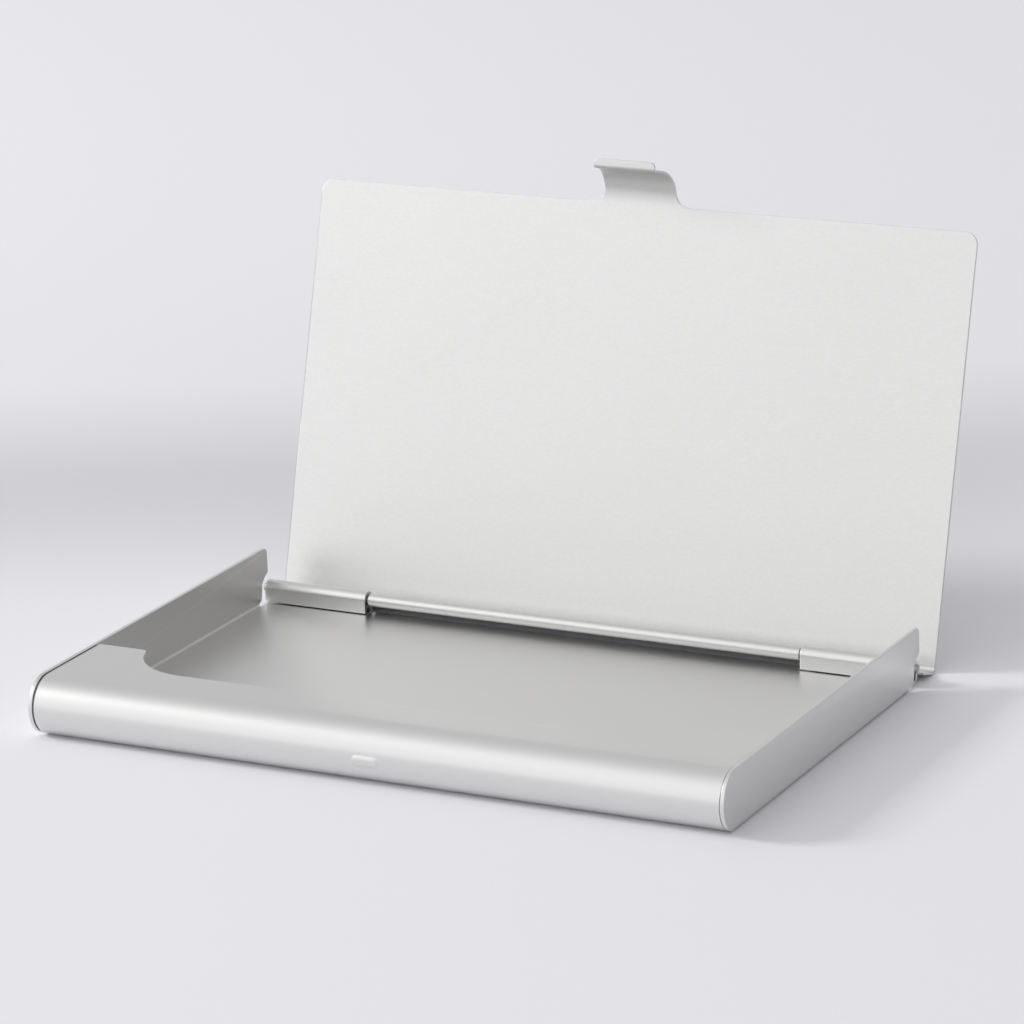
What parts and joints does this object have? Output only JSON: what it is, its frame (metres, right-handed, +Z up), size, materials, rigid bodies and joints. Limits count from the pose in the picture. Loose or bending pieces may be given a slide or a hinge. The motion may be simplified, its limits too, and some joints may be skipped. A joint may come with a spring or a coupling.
{
  "type": "business card case",
  "caption": "Slim pressed-metal business card case: a tray with a rolled front and full side walls, and a flat lid with a catch tab, hinged on a wire pin at the back.",
  "frame": {"origin": "centre of the closed case's footprint, on the tray's underside, which is the table plane", "axes": "+X along the hinge to the right, +Y from the rolled front to the hinge, +Z up"},
  "size_m": [0.093, 0.0795, 0.0598],
  "materials": {
    "tray_sheet": "satin, fine matt grain",
    "lid_sheet": "satin, fine matt grain",
    "pin_wire": "drawn wire"
  },
  "bodies": {
    "tray": {"tray": "tray_sheet"},
    "lid": {"lid": "lid_sheet", "hinge_pin": "pin_wire"}
  },
  "joints": [
    {"name": "lid_hinge", "type": "hinge", "parent": "tray", "child": "lid", "pos_m": [0, 0.02877, 0.00225], "axis": [1, 0, 0], "range_deg": [0, 106.4]}
  ]
}
